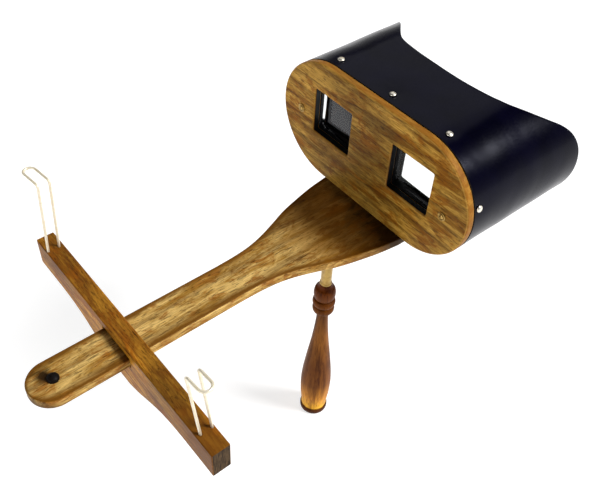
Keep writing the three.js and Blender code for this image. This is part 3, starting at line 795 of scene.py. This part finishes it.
def make_lens(label, side):
    """A decentred plano-convex block."""
    low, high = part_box("lens_" + label)
    centre_x = side * (window_x + lens_shift)
    steps = 28
    vertices, faces = [], []
    for rear in (False, True):
        for i in range(steps + 1):
            for j in range(steps + 1):
                x = low.x + (high.x - low.x) * i / steps
                z = low.z + (high.z - low.z) * j / steps
                away = (x - centre_x) ** 2 + (z - window_z) ** 2
                bulge = lens_seat + lens_thick - lens_radius + math.sqrt(lens_radius**2 - away)
                vertices.append((x, bulge if rear else lens_seat, z))
    count = (steps + 1) ** 2

    def index(layer, i, j):
        return layer * count + i * (steps + 1) + j

    for layer in (0, 1):
        for i in range(steps):
            for j in range(steps):
                quad = [index(layer, i, j), index(layer, i + 1, j)]
                quad += [index(layer, i + 1, j + 1), index(layer, i, j + 1)]
                faces.append(quad)
    rim = [(i, 0) for i in range(steps)] + [(steps, j) for j in range(steps)]
    rim += [(i, steps) for i in range(steps, 0, -1)] + [(0, j) for j in range(steps, 0, -1)]
    for (i0, j0), (i1, j1) in zip(rim, rim[1:] + rim[:1]):
        faces.append([index(0, i0, j0), index(0, i1, j1), index(1, i1, j1), index(1, i0, j0)])
    mesh = clean(mesh_from(vertices, faces))
    piece("lens_" + label, mesh, ["glass"], sharp=40)


def make_retainer(label):
    low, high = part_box("lens_retainer_" + label)
    x = (low.x + high.x) / 2
    outer = rounded_rectangle(low.x, low.z, high.x, high.z, 2.5 * MM, 8)
    w, h = window_width / 2, window_height / 2
    inner = rounded_rectangle(x - w, window_z - h, x + w, window_z + h, 1 * MM, 6)
    mesh = prism([outer, inner], "Y", low.y, high.y, 0.35 * MM, 2)
    piece("lens_retainer_" + label, mesh, ["black_metal"])


# ---- Fasteners -----------------------------------------------------------------------
def headed(head_radius, head_height, shank_radius, shank_length, slot_angle=None):
    """A dome-headed fastener about Z, its head's underside at height 0 and its shank below."""
    steps = 10
    profile = [(0, -shank_length), (shank_radius * 0.4, -shank_length)]
    profile += [(shank_radius, -shank_length + shank_radius * 1.5), (shank_radius, 0)]
    profile += [(head_radius * 0.97, 0), (head_radius, head_height * 0.12)]
    for i in range(1, steps + 1):
        a = math.radians(90 * i / steps)
        height = head_height * (0.12 + 0.88 * math.sin(a))
        profile.append((head_radius * math.cos(a) if i < steps else 0, height))
    mesh = lathe(profile, 32)
    if slot_angle is None:
        return mesh
    half = head_radius * 0.13
    cut = block(
        (-head_radius * 1.3, -half, head_height * 0.5),
        (head_radius * 1.3, half, head_height * 1.5),
    )
    return boolean(mesh, [moved(cut, Matrix.Rotation(slot_angle, 4, "Z"))])


def cup_washer(radius, height):
    """A thin dished ring about Z that the face screws' oval heads sit in."""
    shares = [(0.58, 0), (1, 0), (1, 0.3), (0.93, 0.5), (0.80, 0.55), (0.66, 0.25), (0.58, 0.2)]
    return ring([(radius * r, height * h) for r, h in shares])


def pointing(mesh, place, out):
    """Stands a piece made about Z at a place, with +Z turned to the out direction."""
    turn = Vector(out).to_track_quat("Z", "Y").to_matrix().to_4x4()
    return moved(mesh, Matrix.Translation(place) @ turn)


def make_screws():
    kinds = [
        # names, outward direction, head radius and height, shank radius and length
        ("face_screw", (0, -1, 0), 3.0, 1.4, 1.6, 11),
        ("retainer_screw", (0, 1, 0), 1.8, 1.0, 0.9, 7),
        ("beam_screw", (0, 0, -1), 3.0, 1.6, 1.4, 17),
        ("hinge_screw", (0, 0, -1), 2.1, 1.1, 1.0, 6.5),
    ]
    turns = random.Random(11)
    for prefix, out, head_radius, head_height, shank_radius, shank_length in kinds:
        for node in sorted(n for n in body_of if n.startswith(prefix)):
            low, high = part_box(node)
            place = (low + high) / 2
            axis = 1 if out[1] else 2
            outside = high[axis] if sum(out) > 0 else low[axis]
            place[axis] = outside - sum(out) * head_height * MM
            sizes = [v * MM for v in (head_radius, head_height, shank_radius, shank_length)]
            if prefix == "face_screw":
                washer = cup_washer(sizes[0], sizes[1])
                sizes[0] *= 0.62
            mesh = headed(*sizes, slot_angle=turns.uniform(0, math.pi))
            if prefix == "face_screw":
                mesh = joined([mesh, washer])
            piece(node, pointing(mesh, place, out), ["brass"], sharp=38)


# ---- Hood ----------------------------------------------------------------------------
half_outline = 2 * end_x + math.pi * end_radius
# The rim's reach behind the face board's front, by distance along the outline from the
# middle of the top edge: short over brow and nose, long at the temples. Millimetres.
brow_middle = (0, 58.5)
right_brow = [
    (20, 58.6),
    (34, 59.6),
    (42, 61),
    (50, 64.5),
    (60, 72.7),
    (68, 81),
    (76, 90.5),
    (84, 97.3),
    (94, 101.5),
    (106, 102.8),
    (120, 103),
]
left_brow = [
    (20, 59.5),
    (34, 61),
    (40, 62.5),
    (44, 65),
    (50, 70.5),
    (60, 80.3),
    (70, 88.7),
    (80, 97),
    (87, 101.5),
    (96, 104),
    (110, 105),
    (122, 104),
]
nose_edge = [
    (132, 101.5),
    (140, 97),
    (148, 88.5),
    (157, 73),
    (166, 57),
    (175, 45),
    (186, 38),
    (200, 33),
    (half_outline / MM, 31.5),
]


def outline_point(s, offset):
    """A point of the boards' outline at distance s from the top's middle, and its normal."""
    side = 1 if s >= 0 else -1
    run = abs(s)
    if run < end_x:
        return Vector((side * run, 0, mid_z + end_radius + offset))
    if run > half_outline - end_x:
        return Vector((side * (half_outline - run), 0, mid_z - end_radius - offset))
    a = (run - end_x) / end_radius
    radius = end_radius + offset
    return Vector((side * (end_x + radius * math.sin(a)), 0, mid_z + radius * math.cos(a)))


def hood_behind(y):
    """0 where the leather lies flat on the boards, growing to 1 at the longest rim."""
    straight_end = block_hi.y + 1 * MM
    longest = face_lo.y + hood_reach - straight_end
    return max(0.0, (y - straight_end) / longest) ** 1.6


def hood_point(s, y, offset=0.0):
    """A point of the leather, which leans a little outwards and to the right at its rim."""
    lean = 0.5 * MM * hood_behind(y)
    return outline_point(s, lean + offset) + Vector((lean, y, 0))


def tack_place(s, y):
    """The point on the leather at distance s along the outline, and the outward direction."""
    point = outline_point(s * MM, 0)
    out = outline_point(s * MM, 1) - point
    return point + Vector((0, face_lo.y + y * MM, 0)), out


row_y, side_y = 13.2, 9.6
bottom_s = half_outline / MM - 46
tack_places = {
    "hood_tack_top_left": tack_place(-44.7, row_y),
    "hood_tack_top_middle": tack_place(1.3, row_y),
    "hood_tack_top_right": tack_place(47.3, row_y),
    "hood_tack_side_left": tack_place(-95, side_y),
    "hood_tack_side_right": tack_place(95, side_y),
    "hood_tack_bottom_left": tack_place(-bottom_s, row_y),
    "hood_tack_bottom_right": tack_place(bottom_s, row_y),
}


def hood_dent(point):
    """The leather dips a little round each tack."""
    dent = 0.0
    for place, _ in tack_places.values():
        away = (point - place).length
        dent = max(dent, 0.45 * MM * math.exp(-((away / (4.5 * MM)) ** 2)))
    return dent


def make_tacks():
    for node, (place, out) in tack_places.items():
        mesh = headed(2.2 * MM, 1.3 * MM, 0.7 * MM, 7 * MM)
        piece(node, pointing(mesh, place, out), ["pale_brass"], sharp=38)


def make_hood():
    halves = []
    for brow in (right_brow, left_brow):
        stations = [brow_middle, *brow, *nose_edge]
        halves.append(spline_through([(s * MM, reach * MM) for s, reach in stations], 8))
    right, left = halves
    columns = right + [(-s, reach) for s, reach in left[-2:0:-1]]
    front = hood_lo.y
    rows = 22
    rim_steps = 6
    vertices = []
    for s, reach in columns:
        rim_y = face_lo.y + reach
        outer, inner = [], []
        for row in range(rows + 1):
            y = front + (rim_y - leather / 2 - front) * (row / rows) ** 0.85
            place = hood_point(s, y)
            sway = 0.35 * MM * noise.noise(place * 38) * min(1.0, row / 6)
            outer.append(hood_point(s, y, sway - hood_dent(place)))
            inner.append(hood_point(s, y, sway - leather))
        middle = (outer[-1] + inner[-1]) / 2
        half_thick = (outer[-1] - inner[-1]) / 2
        rim = []
        for k in range(1, rim_steps):
            a = math.pi * k / rim_steps
            rim.append(middle + half_thick * math.cos(a) + Vector((0, leather / 2 * math.sin(a), 0)))
        vertices.append(outer + rim + inner[::-1])
    across = len(vertices[0])
    faces = []
    for i in range(len(vertices)):
        after = (i + 1) % len(vertices)
        for j in range(across):
            k = (j + 1) % across
            faces.append([i * across + j, i * across + k, after * across + k, after * across + j])
    mesh = mesh_from([v for ring in vertices for v in ring], faces)
    obj = piece("hood", clean(mesh), ["leather", "lining"], sharp=50)
    outer_faces = rows + rim_steps
    for polygon in mesh.polygons:
        if polygon.index % across >= outer_faces:
            polygon.material_index = 1
    return obj


# ---- Beam, stop pin ------------------------------------------------------------------
def make_beam():
    flare = [(half * MM, face_lo.y - d * MM) for d, half in beam_flare]
    right = spline_through(flare[::-1], 8)
    left = [(-x, y) for x, y in right[::-1]]
    tail = arc(0, tail_y, beam_half, 180, 360, 40)
    widest = beam_flare[0][1] * MM
    loop = [(-widest, beam_hi.y), *left, *tail, (beam_half, tail_y), *right, (widest, beam_hi.y)]
    mesh = prism([loop], "Z", beam_lo.z, beam_hi.z, 1.0 * MM, 4)
    piece("beam", mesh, ["beam"])


def make_stop_pin():
    profile = [(0, stop_lo.z), (2.2 * MM, stop_lo.z), (2.2 * MM, beam_top), (3.4 * MM, beam_top)]
    for i in range(9):
        a = math.radians(90 * i / 8)
        radius = 3.5 * MM * math.cos(a) if i < 8 else 0
        profile.append((radius, beam_top + (0.5 + 2.4 * math.sin(a)) * MM))
    mesh = lathe(profile, 40)
    y = (stop_lo.y + stop_hi.y) / 2
    piece("stop_pin", moved(mesh, Matrix.Translation((0, y, 0))), ["peg"])


# ---- Card carrier --------------------------------------------------------------------
bar_y = (bar_lo.y + bar_hi.y) / 2
wire_leg = 3.55
# Hand-bent holders, in millimetres and degrees: side, the middle of the two feet on the
# bar, height, reach of the loop, lean outwards and along the beam, and turn of the loop.
wires = {
    "left": (-1, 79.5, -0.8, 51.3, 17, -0.7, 3.6, -0.12),
    "right": (1, 78.6, 0.6, 51.9, 13, -2, -4.6, 0.05),
}


def make_card_bar():
    half = bar_hi.x
    arm = beam_top - 12.8 * MM
    belly = [(9, 28.8), (20, 25.4), (32, 20.1), (43, 16), (54, 13.7), (66, 12.8)]
    right = spline_through([(x * MM, beam_top - drop * MM) for x, drop in belly], 8)
    left = [(-x, z) for x, z in right[::-1]]
    loop = [(half, bar_hi.z), (-half, bar_hi.z), (-half, arm), *left, *right, (half, arm)]
    slot_half = beam_half + 0.5 * MM
    slot_roof = beam_top + 1.3 * MM
    slot = rounded_rectangle(-slot_half, beam_lo.z - 0.35 * MM, slot_half, slot_roof, 0.4 * MM)
    mesh = prism([loop[::-1], slot], "Y", bar_lo.y, bar_hi.y, 0.7 * MM, 3)
    holes = []
    deep, wide, above = 9.5 * MM, 1.05 * MM, 3 * MM
    drill = [(0, -deep), (wide, -deep), (wide, above), (0, above)]
    for side, x, y, *_ in wires.values():
        for leg in (-1, 1):
            hole = lathe(drill, 20)
            place = (side * x * MM, bar_y + (y + leg * wire_leg) * MM, bar_hi.z)
            holes.append(moved(hole, Matrix.Translation(place)))
    mesh = boolean(mesh, holes)
    piece("card_bar", mesh, ["bar", "bar_end", "slot_shade"])
    for polygon in mesh.polygons:
        middle = polygon.center
        beside = abs(middle.x) < slot_half + 0.9 * MM
        level = beam_lo.z - 1.2 * MM < middle.z < slot_roof + 0.9 * MM
        # The slot's inner faces get the near-black painted shade.
        if beside and level and abs(polygon.normal.y) < 0.5:
            polygon.material_index = 2
        elif abs(polygon.normal.x) > 0.9 and abs(middle.x) > half - 1 * MM:
            polygon.material_index = 1


def make_spring():
    """A bowed leaf across the slot, from its roof down to the beam and back up."""
    thick = 0.45 * MM
    rise = spring_hi.z - spring_lo.z - thick
    steps = 32
    low, high = [], []
    for i in range(steps + 1):
        t = 2 * i / steps - 1
        z = spring_lo.z + rise * t * t
        low.append((spring_hi.x * t, z))
        high.append((spring_hi.x * t, z + thick))
    mesh = prism([low + high[::-1]], "Y", spring_lo.y, spring_hi.y, 0.1 * MM, 1)
    piece("slide_spring", mesh, ["steel"])


def wire_path(side, x, y, height, reach, lean_x, lean_y, turn):
    """Up one leg, outwards, round the end loop, back and down the other leg."""
    bend, sink = 3, 9
    out = reach - wire_leg
    leg = [(0, -sink), (0, 0), (0, height * 0.25), (0, height * 0.5), (0, height * 0.75)]
    leg.append((0, height - bend))
    for i in range(1, 11):
        t = i / 10
        rise = (1 - t) ** 2 * (height - bend) + 2 * t * (1 - t) * height + t * t * height
        leg.append((bend * t * t, rise))
    leg += [(out / 2 + bend / 2, height), (out, height)]
    points = [(px, -wire_leg, pz) for px, pz in leg]
    for i in range(1, 16):
        a = math.pi * i / 16 - math.pi / 2
        points.append((out + wire_leg * math.cos(a), wire_leg * math.sin(a), height))
    points += [(px, wire_leg, pz) for px, pz in leg[::-1]]
    outwards = math.tan(math.radians(lean_x))
    along = math.tan(math.radians(lean_y))
    path = []
    for px, py, pz in points:
        up = max(0.0, pz)
        beyond = max(0.0, px - 0.8)
        place = Vector((side * (x + px + outwards * up), y + py + along * up + turn * beyond, pz))
        path.append(Vector((0, bar_y, bar_hi.z)) + place * MM)
    return path


def make_wire(label, sizes):
    curve = bpy.data.curves.new("wire", "CURVE")
    curve.dimensions = "3D"
    curve.bevel_depth = 0.8 * MM
    curve.bevel_resolution = 4
    curve.use_fill_caps = True
    points = wire_path(*sizes)
    spline = curve.splines.new("POLY")
    spline.points.add(len(points) - 1)
    for point, place in zip(spline.points, points):
        point.co = (*place, 1)
    mesh = clean(evaluated_mesh(new_object("wire", curve)))
    piece("wire_holder_" + label, mesh, ["wire"], sharp=50)


# ---- Hinge and handle ----------------------------------------------------------------
ear_inner = 3.4 * MM
ear_thick = 1.8 * MM
eye_radius = 5 * MM
pin_radius = 2 * MM
plate_thick = 1.6 * MM


def circle(cx, cy, radius, steps=32):
    return arc(cx, cy, radius, 0, 360, steps)


def make_hinge_plate():
    plate = prism(
        [rounded_rectangle(plate_lo.x, plate_lo.y, plate_hi.x, plate_hi.y, 3 * MM, 8)],
        "Z", beam_lo.z - plate_thick, beam_lo.z, 0.35 * MM, 2,
    )
    radius = eye_radius + 1 * MM
    back = eye_radius + 1.9 * MM
    top = beam_lo.z - 1 * MM
    outline = [(back, top), (-radius, top), (-radius, pivot.z)]
    outline += arc(0, pivot.z, radius, 180, 270, 12) + [(0, pivot.z - radius)]
    outline += [(back - 1 * MM, pivot.z - radius), (back, pivot.z - radius + 1 * MM)]
    parts = []
    for side in (-1, 1):
        low, high = sorted((side * ear_inner, side * (ear_inner + ear_thick)))
        bore = circle(0, pivot.z, pin_radius + 0.05 * MM)
        parts.append(prism([outline, bore], "X", low, high, 0.25 * MM, 2))
    web_low = (-ear_inner - 0.4 * MM, back - 1.6 * MM, pivot.z - radius + 0.2 * MM)
    web_high = (ear_inner + 0.4 * MM, back - 0.1 * MM, top)
    parts.append(block(web_low, web_high, 0.2 * MM))
    piece("hinge_plate", boolean(plate, parts, "UNION"), ["brass"])


def make_hinge_pin():
    end = ear_inner + ear_thick
    head = 1.2 * MM
    profile = [(0, -end - head)]
    angles = [math.radians(a) for a in range(15, 91, 15)]
    dome = [(3 * MM * math.sin(a), head * math.cos(a)) for a in angles]
    profile += [(r, -end - h) for r, h in dome]
    profile += [(pin_radius, -end), (pin_radius, end)]
    profile += [(r, end + h) for r, h in dome[::-1]]
    profile.append((0, end + head))
    piece("hinge_pin", pointing(lathe(profile, 32), pivot, (1, 0, 0)), ["brass"])


def make_stem():
    half_thick = ear_inner - 0.3 * MM
    radius = 3.85 * MM
    grip_top = grip_hi.z
    neck = pivot.z - 9 * MM
    tongue = arc(0, pivot.z, eye_radius, 0, 180, 24)
    tongue += [(-eye_radius, pivot.z), (-eye_radius, neck), (-3.4 * MM, neck - 5 * MM)]
    tongue += [(3.4 * MM, neck - 5 * MM), (eye_radius, neck)]
    bore = circle(0, pivot.z, pin_radius + 0.07 * MM)
    flat = prism([tongue, bore], "X", -half_thick, half_thick, 0.4 * MM, 2)
    tenon = 2.5 * MM
    profile = [(0, stem_lo.z), (tenon - 0.6 * MM, stem_lo.z), (tenon, stem_lo.z + 1 * MM)]
    profile += [(tenon, grip_top), (radius + 0.3 * MM, grip_top)]
    for i in range(9):
        a = math.radians(-90 + 180 * i / 8)
        bulge = radius + 0.1 * MM + 0.45 * MM * math.cos(a)
        profile.append((bulge, grip_top + (1.1 + math.sin(a)) * MM))
    profile += [(radius, grip_top + 2.4 * MM), (radius, neck - 2 * MM)]
    profile += [(radius - 0.5 * MM, neck - 1 * MM), (radius - 1.2 * MM, neck - 0.5 * MM)]
    profile.append((0, neck - 0.5 * MM))
    piece("handle_stem", boolean(flat, [lathe(profile, 48)], "UNION"), ["brass"])


def bead(z0, z1, foot, radius, steps=12):
    """A half-round bead between two heights, from a groove's radius out to its own."""
    angles = [math.pi * i / steps for i in range(steps + 1)]
    middle, half = (z0 + z1) / 2, (z1 - z0) / 2
    return [(foot + (radius - foot) * math.sin(a), middle - half * math.cos(a)) for a in angles]


def make_grip():
    swell = [(6.8, 10.2), (13, 10.6), (24, 11.6), (38, 11.9), (51, 11.1), (64, 9.7)]
    swell += [(77, 8.1), (89, 6.6), (101, 5.4), (113, 4.5), (121.4, 4.2)]
    profile = [(0, 0), (9.6, 0), (10.3, 0.3), (10.8, 1.0), (11.0, 2.2), (11.0, 3.8), (10.7, 5.0)]
    profile += [(10.1, 5.7), (9.9, 6.2)]
    profile += spline_through([(r, z) for z, r in swell], 6)
    profile += [(4.6, 123), *bead(124, 130.4, 6.2, 8), *bead(131, 137.4, 6.4, 8.3)]
    profile += [*bead(137.8, 149, 6, 7.9, 20), (5.0, 150.2), (4.5, 151.4), (4.4, 152.6), (4.1, 153)]
    profile += [(2.8, 153), (2.8, 127), (0, 127)]
    mesh = lathe([(r * MM, z * MM) for r, z in profile], 96)
    piece("handle_grip", mesh, ["grip"], sharp=45)


# ---- Build ---------------------------------------------------------------------------
make_camera()
make_floor()
make_light()
make_face_board()
make_lens_block()
for label, side in (("left", -1), ("right", 1)):
    make_lens(label, side)
    make_retainer(label)
make_screws()
make_tacks()
make_hood()
make_beam()
make_stop_pin()
make_card_bar()
make_spring()
for label, sizes in wires.items():
    make_wire(label, sizes)
make_hinge_plate()
make_hinge_pin()
make_stem()
make_grip()

visual_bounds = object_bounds()
sizes = {
    "cad": [list(corner) for corner in cad_bounds],
    "visual": [list(corner) for corner in visual_bounds],
}
